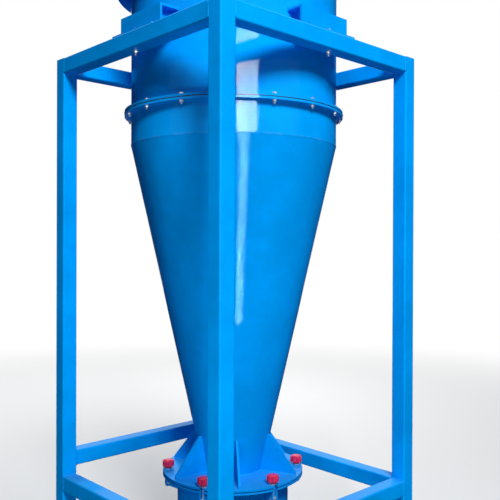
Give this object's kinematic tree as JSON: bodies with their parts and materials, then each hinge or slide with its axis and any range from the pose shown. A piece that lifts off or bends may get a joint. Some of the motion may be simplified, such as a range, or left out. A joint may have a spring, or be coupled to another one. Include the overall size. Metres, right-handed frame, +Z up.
{
  "type": "cyclone separator",
  "caption": "Dust cyclone with a scroll inlet, bolted barrel, long cone and clamped bin, hung by lugs in a square tube frame.",
  "frame": {"origin": "on the floor, on the axis of the cyclone, in the middle of the frame's footprint", "axes": "+Z up along the cyclone's axis; +X towards the side that the air inlet faces; +Y towards the inlet duct's side"},
  "size_m": [1.06, 1.06, 2.956],
  "materials": {
    "blue_paint": "gloss enamel",
    "ring_gasket": "matte sheet",
    "rubber": "matte",
    "zinc_steel": "zinc plated",
    "red_plastic": "moulded"
  },
  "bodies": {
    "root": {"foot_plates": "blue_paint", "post_front_left": "blue_paint", "post_front_right": "blue_paint", "post_back_left": "blue_paint", "post_back_right": "blue_paint", "low_rail_front": "blue_paint", "low_rail_back": "blue_paint", "low_rail_left": "blue_paint", "low_rail_right": "blue_paint", "top_rail_front": "blue_paint", "top_rail_back": "blue_paint", "top_rail_left": "blue_paint", "top_rail_right": "blue_paint", "lug_front": "blue_paint", "lug_back": "blue_paint", "lug_left": "blue_paint", "lug_right": "blue_paint", "barrel": "blue_paint", "barrel_ring": "blue_paint", "ring_gasket": "ring_gasket", "cone_ring": "blue_paint", "collar": "blue_paint", "cone": "blue_paint", "cone_gussets": "blue_paint", "outlet_flange": "blue_paint", "bin_gasket": "rubber", "bin_flange": "blue_paint", "bin_shell": "blue_paint", "bin_bottom": "blue_paint", "bin_hoop": "blue_paint", "clamp_ears": "blue_paint", "clamp_pins": "zinc_steel", "clamp_bolts": "zinc_steel", "clamp_knobs": "red_plastic", "scroll_floor": "blue_paint", "scroll_wall": "blue_paint", "scroll_roof": "blue_paint", "inlet_flange": "blue_paint", "outlet_pipe": "blue_paint", "pipe_flange": "blue_paint"}
  },
  "joints": []
}
